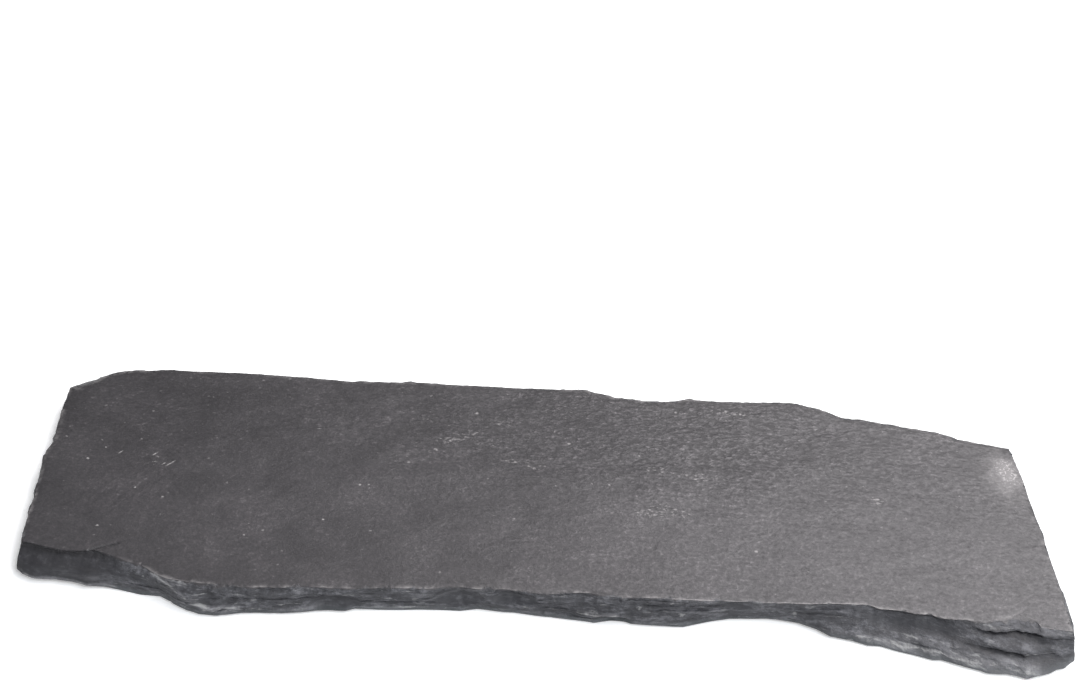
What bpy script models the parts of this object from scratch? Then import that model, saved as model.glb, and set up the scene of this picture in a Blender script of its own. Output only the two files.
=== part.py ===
"""Slate slab: one long riven piece of slate, lying on its flat underside.

Design values are millimetres and the finished mesh is metres. X runs along the slab, Y across it
from the chipped front edge to the back, and Z up from the surface it lies on. The origin is under
the middle of the slab.

The slab is a block of laminae, the thin sheets that slate splits into. Its top is one cleavage
face. All round, the laminae stop at different places, so the broken edge steps from the crest,
where the top face ends, down and out to the foot, where the underside begins.
"""

import bmesh
import bpy
import numpy as np
from mathutils import Vector, noise

MM = 0.001
THICKNESS = 6.0  # between the two cleavage faces

# Plan of the slab, in mm. A crest is the edge of the top face, and a foot is the edge of the underside.
FRONT_CREST = (
    (-122.1, -32.3), (-112.9, -34.6), (-102.6, -34.3), (-91.5, -36.8), (-84.9, -41.6), (-69.0, -42.5),
    (-52.2, -41.1), (-36.4, -39.3), (-23.6, -37.8), (-2.8, -35.4), (4.7, -36.6), (21.2, -35.9),
    (34.4, -34.7), (54.8, -32.9), (81.0, -31.6), (91.6, -33.8), (106.1, -34.2), (115.7, -31.5),
    (120.2, -35.4), (127.7, -35.6),
)
FRONT_FOOT = (
    (-122.4, -37.4), (-119.3, -39.0), (-97.1, -40.0), (-86.3, -42.2), (-78.5, -45.6), (-71.5, -47.2),
    (-67.7, -45.7), (-50.1, -43.1), (-28.4, -39.6), (-7.2, -37.7), (11.7, -38.7), (35.6, -38.3),
    (42.1, -36.9), (49.2, -34.2), (58.4, -33.0), (68.3, -34.6), (74.1, -38.0), (86.3, -39.9),
    (102.3, -44.3), (109.4, -46.4), (121.5, -45.5), (128.6, -39.4),
)
RIGHT_CREST = ((127.7, -35.6), (126.0, -18.4), (124.3, -7.6), (121.5, 12.4), (120.3, 20.1), (118.0, 31.7))
RIGHT_FOOT = ((128.6, -39.4), (129.6, -31.0), (126.9, -18.0), (125.0, -6.0), (122.5, 12.0), (119.6, 34.2))
REAR_CREST = (
    (-129.2, 30.4), (-126.0, 33.6), (-118.3, 38.4), (-104.2, 41.0), (-80.0, 42.2), (-55.0, 41.6),
    (-30.0, 43.1), (8.3, 44.5), (15.7, 42.3), (27.2, 41.3), (35.4, 43.3), (62.4, 44.8), (69.7, 43.2),
    (76.5, 39.6), (80.2, 40.1), (99.3, 36.4), (105.1, 33.9), (118.0, 31.7),
)
REAR_FOOT = (
    (-129.7, 33.4), (-127.0, 37.8), (-118.5, 42.4), (-104.0, 44.4), (-80.0, 44.9), (-60.0, 43.6),
    (-35.0, 46.0), (8.0, 47.2), (20.0, 44.2), (36.0, 45.4), (60.0, 47.1), (71.0, 45.6), (79.0, 42.2),
    (98.0, 38.4), (107.0, 35.9), (119.6, 34.2),
)
LEFT_CREST = ((-122.1, -32.3), (-124.2, -17.0), (-125.9, -4.3), (-127.1, 3.0), (-126.4, 7.2), (-129.2, 30.4))
LEFT_FOOT = ((-122.4, -37.4), (-124.7, -18.0), (-126.4, -4.0), (-127.5, 2.0), (-127.2, 7.6), (-129.7, 33.4))

# Slope of the broken edge. Each station is a place along the side, the share of the way from crest
# to foot that the edge has reached a fifth, a half and four fifths of the way down, and how far it
# goes in steps (1) or in one smooth slope (0). Stations go by x on the long sides and by y on the ends.
FRONT_SLOPE = (
    (-122.1, 0.10, 0.84, 0.96, 0.30), (-104.0, 0.14, 0.80, 0.94, 0.30), (-91.0, 0.30, 0.58, 0.88, 0.30),
    (-79.0, 0.24, 0.36, 0.94, 0.90), (-66.0, 0.24, 0.38, 0.84, 1.00), (-50.0, 0.24, 0.44, 0.62, 1.00),
    (-20.0, 0.18, 0.40, 0.70, 1.00), (20.0, 0.22, 0.50, 0.84, 0.90), (50.0, 0.30, 0.55, 0.80, 0.90),
    (74.0, 0.20, 0.42, 0.70, 0.50), (88.0, 0.12, 0.34, 0.74, 0.60), (100.0, 0.14, 0.38, 0.76, 0.90),
    (112.0, 0.28, 0.46, 0.76, 1.00), (127.7, 0.26, 0.54, 0.78, 1.00),
)
RIGHT_SLOPE = ((-35.6, 0.26, 0.54, 0.78, 1.00), (-10.0, 0.30, 0.60, 0.90, 1.00), (31.7, 0.20, 0.50, 0.80, 1.00))
REAR_SLOPE = (
    (-129.2, 0.36, 0.66, 0.84, 0.40), (-112.0, 0.30, 0.60, 0.80, 0.60), (-60.0, 0.20, 0.50, 0.80, 1.00),
    (10.0, 0.30, 0.52, 0.76, 1.00), (70.0, 0.22, 0.56, 0.84, 0.80), (118.0, 0.20, 0.50, 0.80, 1.00),
)
LEFT_SLOPE = ((-32.3, 0.10, 0.84, 0.96, 0.30), (-20.0, 0.30, 0.60, 0.85, 1.00), (30.4, 0.36, 0.66, 0.84, 0.40))

# Where the laminae part, as shares of the way down from the crest to the foot.
PARTINGS = (0.0, 0.12, 0.28, 0.45, 0.63, 0.83, 1.0)
RAGGED = 0.48  # mm that a lamina's end strays from the slope on a steep edge
RAGGED_SHARE = 0.10  # and the further share of the slope's width on a wide one

# Curved scars of flakes struck off: place along the side, half length, bite in mm, and the shares of
# the way down at which the scar is deepest and within which it runs out.
FRONT_SCARS = (
    (-99.0, 10.0, 0.7, 0.45, 0.45), (-44.0, 6.0, 0.8, 0.68, 0.34), (-13.0, 9.0, 1.0, 0.38, 0.42),
    (-3.0, 6.0, 1.2, 0.30, 0.36), (21.0, 5.0, 1.0, 0.92, 0.20), (51.0, 5.0, 0.7, 0.15, 0.30),
    (92.0, 13.0, 1.5, 0.30, 0.36),
)
REAR_SCARS = (
    (-92.0, 9.0, 1.4, 0.20, 0.50), (-68.0, 7.0, 1.2, 0.70, 0.45), (-22.0, 11.0, 1.5, 0.25, 0.55),
    (48.0, 8.0, 1.2, 0.75, 0.40), (88.0, 6.0, 1.0, 0.30, 0.40),
)
RIGHT_SCARS = ((-14.0, 6.0, 0.8, 0.70, 0.40), (14.0, 5.0, 0.7, 0.30, 0.40))
LEFT_SCARS = ((5.0, 4.0, 0.6, 0.30, 0.50), (18.0, 6.0, 0.8, 0.75, 0.35))

# Ledges, where single laminae stand out of the slope: place along the side, half length, how far out
# in mm, and the shares of the way down between which they stand.
FRONT_LEDGES = (
    (-30.0, 42.0, 0.5, 0.83, 1.00), (-76.0, 9.0, 0.8, 0.45, 0.83), (18.0, 9.0, 0.9, 0.63, 0.83),
    (113.0, 8.0, 1.3, 0.12, 0.28), (104.0, 12.0, 1.2, 0.45, 0.63), (62.0, 10.0, 0.5, 0.28, 0.45),
)
REAR_LEDGES = ((-45.0, 12.0, 1.0, 0.45, 0.63), (22.0, 14.0, 0.9, 0.28, 0.63), (100.0, 9.0, 0.9, 0.63, 0.83))
RIGHT_LEDGES = ((0.0, 12.0, 0.5, 0.45, 0.63),)
LEFT_LEDGES = ((-8.0, 8.0, 0.4, 0.28, 0.45),)

TOP_SWELL = 0.30  # mm, the slow rise and fall of the top face
TOP_SHEET = 0.22  # mm, the edge of a lamina that peeled off part of the top face
FOOT_LIFT = 0.75  # mm, the most that the foot stands off the surface below
LIFT_WIDTH = 5.0  # mm from the foot to where the underside is flat

COLUMNS = 96  # faces along the slab
ROWS = 18  # faces across it

SLATE_COLOUR = (0.082, 0.079, 0.082, 1.0)
SLATE_ROUGHNESS = 0.52


def fractal(x, y, z, wavelength, octaves=3):
    """Smooth noise from about -1 to 1 at a place in mm."""
    return noise.fractal(Vector((x, y, z)) / wavelength, 1.0, 2.0, octaves)


def smooth(value, low, high):
    """0 below low, 1 above high and an even curve between."""
    t = np.clip((value - low) / (high - low), 0.0, 1.0)
    return t * t * (3.0 - 2.0 * t)


class Side:
    """One side of the slab: its crest and foot lines, and what the broken edge does between them."""

    def __init__(self, crest, foot, slope, scars, ledges, along, crest_ragged):
        self.crest = self.shares_of(crest)
        self.foot = self.shares_of(foot)
        self.slope = np.array(slope)
        self.scars = scars
        self.ledges = ledges
        self.along = along  # 0 where places go by x, 1 where they go by y
        self.crest_ragged = crest_ragged  # mm that the crest and the foot stray from their lines

    @staticmethod
    def shares_of(line):
        """The points of a line with each one's share of the way along it in front."""
        points = np.array(line)
        lengths = np.linalg.norm(np.diff(points, axis=0), axis=1)
        shares = np.concatenate([[0.0], np.cumsum(lengths)]) / lengths.sum()
        return np.column_stack([shares, points])

    @staticmethod
    def at(line, share):
        return np.array([np.interp(share, line[:, 0], line[:, i]) for i in (1, 2)])

    def scar_bite(self, place, down):
        """Mm that the scars take off the edge at a place along it and a share of the way down."""
        bite = 0.0
        for centre, half, depth, middle, reach in self.scars:
            inside = 1.0 - ((place - centre) / half) ** 2 - ((down - middle) / reach) ** 2
            bite = max(bite, depth * max(inside, 0.0) ** 0.5)
        return bite

    def ledge_out(self, place, lamina):
        """Mm that a lamina stands out of the slope at a place along it."""
        middle = 0.5 * (PARTINGS[lamina] + PARTINGS[lamina + 1])
        out = 0.0
        for centre, half, depth, top, bottom in self.ledges:
            if top < middle < bottom:
                out += depth * (1.0 - smooth(abs(place - centre), 0.5 * half, half))
        return out

    def way_out(self, place, lamina, down):
        """Share of the way from crest to foot that a lamina has reached at a share of the way down."""
        reached = [np.interp(place, self.slope[:, 0], self.slope[:, i]) for i in (1, 2, 3)]
        stepped = np.interp(place, self.slope[:, 0], self.slope[:, 4])
        downs, ways = (0.0, 0.2, 0.5, 0.8, 1.0), (0.0, *reached, 1.0)
        share = lamina / (len(PARTINGS) - 2)
        lip = PARTINGS[lamina] + (PARTINGS[lamina + 1] - PARTINGS[lamina]) * share
        return np.interp(down, downs, ways) * (1.0 - stepped) + np.interp(lip, downs, ways) * stepped

    def edge_point(self, share, lamina, down):
        """A point of the broken edge, in mm: on one lamina, at a share along the side and one down it."""
        crest, foot = self.at(self.crest, share), self.at(self.foot, share)
        place = crest[self.along]
        width = float(np.linalg.norm(foot - crest))
        out = (foot - crest) / width
        middle = 0.5 * (PARTINGS[lamina] + PARTINGS[lamina + 1])
        inner = 4.0 * middle * (1.0 - middle)
        ragged = (RAGGED + RAGGED_SHARE * width) * inner
        stray = ragged * 2.0 * fractal(*crest, 9.0 * lamina, 17.0, 4)
        stray += self.crest_ragged * fractal(*crest, 3.0 * lamina, 6.0, 2)
        way = self.way_out(place, lamina, down)
        reach = way * width + stray + self.ledge_out(place, lamina) - self.scar_bite(place, down)
        high, low = top_height(*crest), foot_height(*foot)
        return np.array([*(crest + out * reach), high + (low - high) * down])


FRONT = Side(FRONT_CREST, FRONT_FOOT, FRONT_SLOPE, FRONT_SCARS, FRONT_LEDGES, 0, 0.25)
RIGHT = Side(RIGHT_CREST, RIGHT_FOOT, RIGHT_SLOPE, RIGHT_SCARS, RIGHT_LEDGES, 1, 0.12)
REAR = Side(REAR_CREST, REAR_FOOT, REAR_SLOPE, REAR_SCARS, REAR_LEDGES, 0, 0.25)
LEFT = Side(LEFT_CREST, LEFT_FOOT, LEFT_SLOPE, LEFT_SCARS, LEFT_LEDGES, 1, 0.12)


def top_height(x, y):
    """Height of the top face: a slow swell, and a thin sheet missing from part of it."""
    swell = TOP_SWELL * fractal(x, 1.6 * y, 3.0, 60.0)
    line = y - 9.0 - 0.10 * x + 9.0 * fractal(x, y, 17.0, 55.0)
    sheet = smooth(line, -1.5, 1.5) * smooth(x, -95.0, -60.0) * (1.0 - smooth(x, 40.0, 85.0))
    return THICKNESS + swell - TOP_SHEET * sheet


def foot_height(x, y):
    """How far the foot of the broken edge stands off the surface that the slab lies on."""
    return FOOT_LIFT * float(np.clip(0.45 + 0.9 * fractal(x, y, 31.0, 26.0, 2), 0.08, 1.0))


def rim(side, steps, lamina, down):
    """The points of one line round a side, at one lamina and share of the way down."""
    return np.array([side.edge_point(i / steps, lamina, down) for i in range(steps + 1)])


def ring(lamina, down):
    """The four sides' lines at one level. Each starts where the grid's own rows or columns start."""
    return (
        rim(FRONT, COLUMNS, lamina, down),
        rim(RIGHT, ROWS, lamina, down),
        rim(REAR, COLUMNS, lamina, down),
        rim(LEFT, ROWS, lamina, down),
    )


def patch_point(lines, column, row):
    """A point inside four edge lines, blended from all of them."""
    front, right, rear, left = lines
    u, v = column / COLUMNS, row / ROWS
    across = (1.0 - v) * front[column] + v * rear[column]
    along = (1.0 - u) * left[row] + u * right[row]
    corners = (1.0 - u) * (1.0 - v) * front[0] + u * (1.0 - v) * front[-1]
    corners = corners + (1.0 - u) * v * rear[0] + u * v * rear[-1]
    return across + along - corners


def ring_point(lines, column, row):
    """The point of a ring's own line at a place on the block's outline."""
    front, right, rear, left = lines
    if row == 0:
        return front[column]
    if row == ROWS:
        return rear[column]
    return right[row] if column == COLUMNS else left[row]


def block():
    """A grid pulled down into a block of unit height, with a row of edges at each lamina's top and bottom."""
    bm = bmesh.new()
    bmesh.ops.create_grid(bm, x_segments=COLUMNS, y_segments=ROWS, size=0.5)
    pulled = bmesh.ops.extrude_face_region(bm, geom=bm.faces[:])
    raised = [v for v in pulled["geom"] if isinstance(v, bmesh.types.BMVert)]
    bmesh.ops.translate(bm, verts=raised, vec=(0.0, 0.0, 1.0))
    uprights = [e for e in bm.edges if abs(e.verts[0].co.z - e.verts[1].co.z) > 0.5]
    levels = 2 * (len(PARTINGS) - 1)
    bmesh.ops.subdivide_edges(bm, edges=uprights, cuts=levels - 2, use_grid_fill=True)
    return bm, levels


def shape_block(bm, levels):
    """Moves each point of the block to its place on the slab."""
    rings = []
    for level in range(levels):
        lamina = level // 2
        down = PARTINGS[lamina + level % 2]
        rings.append(ring(lamina, down))
    for vert in bm.verts:
        column = round((vert.co.x + 0.5) * COLUMNS)
        row = round((vert.co.y + 0.5) * ROWS)
        level = round((1.0 - vert.co.z) * (levels - 1))
        if 0 < column < COLUMNS and 0 < row < ROWS:
            vert.co = inner_point(rings, levels, column, row, level)
        else:
            vert.co = ring_point(rings[level], column, row)


def inner_point(rings, levels, column, row, level):
    """A point of the top face, or of the underside."""
    point = patch_point(rings[level], column, row)
    if level < levels - 1:
        point[2] = top_height(point[0], point[1])
        return point
    foot = rings[level]
    nearest = min(
        np.linalg.norm(line[:, :2] - point[:2], axis=1).min() for line in foot
    )
    share = 1.0 - smooth(nearest, 0.0, LIFT_WIDTH)
    point[2] = foot_height(point[0], point[1]) * share if share > 0.05 else 0.0
    return point


def make_slab():
    bm, levels = block()
    shape_block(bm, levels)
    flat = [f for f in bm.faces if all(v.co.z == 0.0 for v in f.verts)]
    bmesh.ops.dissolve_faces(bm, faces=flat, use_verts=True)
    bmesh.ops.scale(bm, vec=(MM, MM, MM), verts=bm.verts)
    bmesh.ops.recalc_face_normals(bm, faces=bm.faces)
    mesh = bpy.data.meshes.new("slate_slab")
    bm.to_mesh(mesh)
    bm.free()
    mesh.shade_smooth()
    mesh.set_sharp_from_angle(angle=np.radians(30.0))
    slab = bpy.data.objects.new("slate_slab", mesh)
    bpy.context.scene.collection.objects.link(slab)
    return slab


def slate():
    """Dark grey slate, split and not polished."""
    material = bpy.data.materials.new("slate")
    material.use_nodes = True
    shader = material.node_tree.nodes["Principled BSDF"]
    shader.inputs["Base Color"].default_value = SLATE_COLOUR
    shader.inputs["Roughness"].default_value = SLATE_ROUGHNESS
    shader.inputs["Metallic"].default_value = 0.0
    return material


def main():
    for old in list(bpy.data.objects):
        bpy.data.objects.remove(old, do_unlink=True)
    slab = make_slab()
    slab.data.materials.append(slate())


main()
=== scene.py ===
import math

import bmesh
import bpy
import numpy as np
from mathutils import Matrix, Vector, kdtree, noise


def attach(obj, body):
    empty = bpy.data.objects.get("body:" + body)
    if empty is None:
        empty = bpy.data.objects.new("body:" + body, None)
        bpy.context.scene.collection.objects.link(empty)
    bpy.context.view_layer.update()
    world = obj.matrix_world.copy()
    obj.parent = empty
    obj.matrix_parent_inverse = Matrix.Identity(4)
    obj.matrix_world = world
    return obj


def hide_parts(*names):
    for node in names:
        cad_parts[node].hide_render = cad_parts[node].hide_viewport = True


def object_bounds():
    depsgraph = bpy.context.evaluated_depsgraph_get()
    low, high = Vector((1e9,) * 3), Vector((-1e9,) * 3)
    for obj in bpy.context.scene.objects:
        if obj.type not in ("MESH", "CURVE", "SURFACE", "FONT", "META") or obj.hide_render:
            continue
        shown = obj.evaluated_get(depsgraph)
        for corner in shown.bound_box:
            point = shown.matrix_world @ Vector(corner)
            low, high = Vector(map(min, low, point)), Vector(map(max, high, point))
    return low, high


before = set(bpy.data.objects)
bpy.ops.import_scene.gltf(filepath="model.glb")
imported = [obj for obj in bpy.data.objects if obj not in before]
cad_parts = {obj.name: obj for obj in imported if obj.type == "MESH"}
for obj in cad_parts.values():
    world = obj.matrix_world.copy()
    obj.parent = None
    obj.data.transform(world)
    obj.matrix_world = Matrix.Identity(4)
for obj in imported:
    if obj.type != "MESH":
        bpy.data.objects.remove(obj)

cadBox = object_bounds()  # the box of the solids
millimetre = 0.001


# Camera, floor and light

view = {
    "width": 1078,  # of the picture, in pixels
    "focal": 2083.7,  # in the same pixels
    "place": (46.0, -401.1, 335.3),  # mm
    "azimuth": 6.5,  # degrees to the slab's right of straight on
    "elevation": 35.0,  # degrees above the surface
}

studio = {
    "floorSize": 6.0,  # m
    "floorWhite": "#fbfcfc",
    "floorRoughness": 0.9,
    "floorSpecular": 0.2,
    "floorGlow": 0.22,  # the paper lies on a light table, which keeps shadows on it pale
    "glowWhite": "#fffdfa",
    "skyWhite": "#f2f7f7",
    "skyStrength": 0.14,
    # place in m, size in m, watts and colour of each soft light
    "lights": {
        "windowBehind": ((0.31, 0.87, 1.02), 0.9, 11.0, "#fffafd"),
        "sideWindow": ((0.60, 0.35, 0.90), 0.9, 8.2, "#ffffff"),
        "rightFill": ((0.66, -0.62, 0.80), 1.1, 13.5, "#f8faff"),
        "leftFill": ((-0.75, -0.55, 0.60), 0.9, 2.7, "#f8faff"),
    },
}


def linear(hexColour):
    values = [int(hexColour[i:i + 2], 16) / 255.0 for i in (1, 3, 5)]
    return [v / 12.92 if v <= 0.04045 else ((v + 0.055) / 1.055) ** 2.4 for v in values] + [1.0]


def addCamera():
    lens = bpy.data.cameras.new("photoCamera")
    lens.sensor_fit = "HORIZONTAL"
    lens.sensor_width = 36.0
    lens.lens = view["focal"] / view["width"] * lens.sensor_width
    lens.clip_start = 0.01
    camera = bpy.data.objects.new("photoCamera", lens)
    camera.location = Vector(view["place"]) * millimetre
    camera.rotation_euler = (math.radians(90.0 - view["elevation"]), 0.0, math.radians(view["azimuth"]))
    bpy.context.scene.collection.objects.link(camera)
    bpy.context.scene.camera = camera


def addLight(name, place, size, watts, colour):
    lamp = bpy.data.lights.new(name, "AREA")
    lamp.shape = "DISK"
    lamp.size = size
    lamp.energy = watts
    lamp.color = linear(colour)[:3]
    light = bpy.data.objects.new(name, lamp)
    light.location = place
    light.rotation_euler = Vector(place).to_track_quat("Z", "Y").to_euler()
    bpy.context.scene.collection.objects.link(light)


def addFloor():
    bm = bmesh.new()
    bmesh.ops.create_grid(bm, x_segments=1, y_segments=1, size=studio["floorSize"] / 2)
    mesh = bpy.data.meshes.new("floor")
    bm.to_mesh(mesh)
    bm.free()
    floor = bpy.data.objects.new("floor", mesh)
    bpy.context.scene.collection.objects.link(floor)
    paper = bpy.data.materials.new("whitePaper")
    paper.use_nodes = True
    shader = paper.node_tree.nodes["Principled BSDF"]
    shader.inputs["Base Color"].default_value = linear(studio["floorWhite"])
    shader.inputs["Roughness"].default_value = studio["floorRoughness"]
    shader.inputs["Specular IOR Level"].default_value = studio["floorSpecular"]
    shader.inputs["Emission Color"].default_value = linear(studio["glowWhite"])
    shader.inputs["Emission Strength"].default_value = studio["floorGlow"]
    mesh.materials.append(paper)


def addSky():
    world = bpy.data.worlds.new("studioSky")
    world.use_nodes = True
    background = world.node_tree.nodes["Background"]
    background.inputs["Color"].default_value = linear(studio["skyWhite"])
    background.inputs["Strength"].default_value = studio["skyStrength"]
    bpy.context.scene.world = world
    bpy.context.scene.view_settings.view_transform = "Standard"


print("camera, floor and lights")
addCamera()
addFloor()
addSky()
for name, settings in studio["lights"].items():
    addLight(name, *settings)


# The slab. Lengths are mm until the mesh is finished, x runs along the slab and y across it.
# A crest is the edge of the top face and a foot is the edge of the underside. Between them the
# laminae that slate splits into stop at different places.

slab = {
    "thickness": 6.0,
    "columns": 256,  # faces along the top
    "rows": 64,  # faces across it
    "rowCrowding": 0.5,  # how much closer the rows are near the long edges
    "edgeParts": 3,  # columns of the broken edge for each face of the top
    "fineRows": 3,  # rows behind the front crest that are as fine as the broken edge
    "partings": [0.0, 0.12, 0.28, 0.45, 0.63, 0.83, 1.0],  # shares of the way down between laminae
    "levels": [0.03, 0.20, 0.42, 0.64, 0.85, 0.97],  # where each lamina has its rows of points
    "ragged": 0.55,  # mm that a lamina's end strays
    "raggedShare": 0.05,  # and the further share of the edge's width
    # mm: length, height and depth of the hollows left by flakes, coarse to fine
    "flakes": [(11.0, 5.0, 1.7), (4.5, 2.2, 0.75), (1.5, 0.8, 0.28)],
    "layering": 0.06,  # mm, how uneven one thin sheet is from the next
    "groove": 0.09,  # mm, the most that a parting is open
    "crestWear": 0.12,  # mm that the crest is rounded off
    "wearWidth": 0.7,
    "wobble": 0.035,  # share of the thickness that partings wander up and down
    "topSwell": 0.30,  # mm that the face slowly rises and falls
    "topSheet": 0.22,  # mm, the thin sheet that is gone from part of it
    "topSheetEnds": (-95.0, -60.0, 40.0, 85.0),  # x where it begins, is full, starts to end and has ended
    "shadedCrack": [(-104.8, -33.7), (-101.6, -31.8), (-95.5, -29.2)],  # runs on behind the front left ledge
    "crackWidth": 0.35,
    "crackDepth": 0.40,
    # the inner line of a flake off the rear left corner, the x between which it ends, and how much the
    # face dips for each mm past it
    "cornerFlake": [
        (-129.3, 29.8), (-126.4, 30.2), (-123.6, 32.6), (-121.6, 35.4), (-118.4, 37.8), (-113.0, 39.8),
    ],
    "cornerFlakeEnds": (-118.0, -113.0),
    "cornerDip": 0.30,
    "footLift": 0.75,  # mm that the foot stands off the floor, at most
    "leftLift": 1.15,  # and the further mm of it at the front left
    "leftLiftEnds": ((-108.0, -90.0), (-38.0, -26.0)),  # x and y between which that comes to nothing
    "liftWidth": 5.0,  # mm in which the underside comes up to the foot
    "undersideWave": 0.18,
    "undersideSheet": 0.25,  # mm, the thinner sheet that is gone from part of the underside
    "undersideSheetEnds": (-60.0, -35.0, 70.0, 95.0),
}

front = {
    "crest": [
        (-122.1, -32.3), (-115.9, -33.5), (-111.5, -34.6), (-107.0, -34.3), (-103.5, -33.6), (-96.6, -36.1),
        (-90.9, -37.7), (-86.9, -40.2), (-83.8, -41.5), (-74.0, -41.9), (-70.6, -42.6), (-57.5, -42.0),
        (-51.7, -40.9), (-25.2, -38.3), (-14.7, -36.8), (-10.6, -37.1), (-4.5, -36.2), (6.3, -36.5),
        (16.5, -35.0), (24.2, -35.9), (34.7, -35.0), (49.9, -34.4), (65.4, -33.0), (81.2, -31.9),
        (83.9, -33.0), (95.9, -33.7), (97.7, -34.5), (106.5, -34.6), (112.8, -33.1), (116.2, -31.0),
        (119.7, -33.0), (120.8, -35.2), (127.7, -35.6),
    ],
    "foot": [
        (-122.4, -37.4), (-120.7, -38.9), (-117.6, -40.0), (-99.3, -40.5), (-90.4, -41.3), (-85.8, -42.2),
        (-82.0, -44.6), (-78.2, -46.2), (-72.8, -47.5), (-70.6, -47.4), (-65.2, -45.5), (-55.8, -44.5),
        (-47.4, -42.6), (-41.0, -42.1), (-38.9, -41.0), (-22.4, -39.1), (-9.5, -37.8), (-1.5, -37.7),
        (6.5, -38.6), (24.6, -39.1), (38.7, -38.5), (45.6, -35.5), (49.4, -34.4), (54.1, -33.6),
        (60.0, -33.7), (65.8, -34.5), (69.6, -36.0), (72.8, -38.0), (82.0, -39.4), (93.4, -42.0),
        (102.4, -44.3), (108.2, -46.3), (113.6, -46.3), (122.6, -45.0), (126.2, -42.5), (128.6, -39.4),
    ],
    # x, share of the way out at 20, 50 and 80 % of the way down, and 1 for rough or 0 for smooth
    "slope": [
        (-122.1, 0.05, 0.70, 0.95, 0.20), (-104.0, 0.08, 0.68, 0.93, 0.20), (-92.0, 0.34, 0.66, 0.88, 0.25),
        (-86.0, 0.58, 0.80, 0.92, 0.40), (-79.0, 0.24, 0.78, 0.95, 0.60), (-73.0, 0.20, 0.42, 0.94, 0.80),
        (-60.0, 0.22, 0.36, 0.70, 1.00), (-20.0, 0.18, 0.40, 0.70, 0.90), (20.0, 0.22, 0.50, 0.84, 0.80),
        (50.0, 0.30, 0.55, 0.80, 0.80), (74.0, 0.16, 0.40, 0.68, 0.60), (88.0, 0.10, 0.26, 0.62, 0.80),
        (102.0, 0.12, 0.30, 0.64, 0.50), (112.0, 0.28, 0.44, 0.70, 0.40), (127.7, 0.26, 0.52, 0.76, 0.40),
    ],
    # x, half length, bite in mm, share of the way down at its deepest, and within which it runs out
    "scars": [
        (-44.0, 6.0, 0.9, 0.68, 0.36), (-14.5, 6.5, 1.1, 0.40, 0.42), (-2.5, 6.5, 1.4, 0.34, 0.38),
        (21.0, 5.0, 1.1, 0.92, 0.24), (51.0, 5.0, 0.8, 0.15, 0.34), (89.0, 17.0, 0.9, 0.24, 0.42),
    ],
    # x, half length, mm out, or in for an open parting, the shares of the way down between which it
    # lies, and how much lower it is at its right end than in the middle
    "ledges": [
        (-22.0, 50.0, 0.6, 0.83, 1.20, 0.00), (-56.0, 16.0, 0.5, 0.20, 0.45, 0.05),
        (18.0, 9.0, 0.8, 0.60, 0.85, 0.04), (62.0, 10.0, 0.4, 0.28, 0.45, 0.00),
        (116.0, 10.0, 0.6, 0.06, 0.20, 0.06), (114.0, 14.0, -0.9, 0.22, 0.37, 0.09),
        (111.0, 20.0, 0.7, 0.42, 0.60, 0.14), (112.0, 16.0, -0.7, 0.60, 0.75, 0.13),
    ],
    # lines of (x, share of the way down) along which the slate is crushed pale, their width in mm
    # and how pale they are
    "streaks": [
        ([(-88.0, 0.02), (-84.0, 0.20), (-78.0, 0.52), (-72.0, 0.74), (-66.0, 0.80)], 0.50, 1.3),
        ([(-92.0, 0.0), (-86.0, 0.0), (-79.0, 0.06)], 0.5, 0.9),
        ([(-66.0, 0.82), (-50.0, 0.86), (-18.0, 0.86)], 0.45, 0.6),
        ([(15.0, 0.66), (18.5, 0.62), (22.5, 0.62)], 0.32, 0.8),
        ([(108.0, 0.06), (114.0, 0.18), (124.0, 0.42)], 0.40, 0.6),
        ([(80.0, 0.88), (92.0, 0.80), (108.0, 0.82), (119.0, 0.93)], 0.90, 0.85),
        ([(119.5, 0.0), (127.0, 0.04)], 0.7, 0.6),
        ([(-120.0, 0.93), (-110.0, 0.97), (-97.0, 0.92)], 0.5, 0.9),
        ([(-112.0, 0.62), (-102.0, 0.70)], 0.6, 0.5),
        ([(-46.0, 0.50), (-41.0, 0.28), (-35.5, 0.45)], 0.3, 0.5),
        ([(-24.0, 0.62), (-14.0, 0.16), (-8.0, 0.06)], 0.35, 0.45),
        ([(36.0, 0.0), (60.0, 0.0), (84.0, 0.0)], 0.5, 0.9),
    ],
    # leaning ridges: x where they begin, are full, start to fade and are faint, mm down for each
    # mm along, and their spacing, length and height in mm
    "folds": {
        "begin": 84.0, "full": 102.0, "fade": 118.0, "faint": 127.0, "faintness": 0.85,
        "lean": 0.11, "spacing": 1.25, "length": 12.0, "height": 1.05,
    },
    "darkLedge": (-104.0, -94.0),  # x between which the low ledge at its left, dark with painted shade, ends
    "along": 0,  # it runs along x
    "outside": 1.0,  # which way is out of the slab, 1 or -1
    "crestRagged": 0.27,  # mm that its crest strays
}

right = {
    "crest": [(127.7, -35.6), (126.0, -18.4), (124.3, -7.6), (121.5, 12.4), (120.3, 20.1), (118.0, 31.7)],
    "foot": [(128.6, -39.4), (129.4, -31.0), (126.9, -18.0), (125.0, -6.0), (122.5, 12.0), (119.6, 34.2)],
    "slope": [
        (-35.6, 0.26, 0.52, 0.76, 0.60), (-10.0, 0.30, 0.60, 0.90, 0.45), (31.7, 0.20, 0.50, 0.80, 0.50),
    ],
    "scars": [(-14.0, 6.0, 0.5, 0.70, 0.40), (14.0, 5.0, 0.5, 0.30, 0.40)],
    "ledges": [(0.0, 12.0, 0.5, 0.45, 0.63, 0.0)],
    "streaks": [([(-30.0, 0.30), (-10.0, 0.45), (5.0, 0.45)], 0.4, 0.6)],
    "along": 1,
    "outside": 1.0,
    "crestRagged": 0.10,
}

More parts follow.
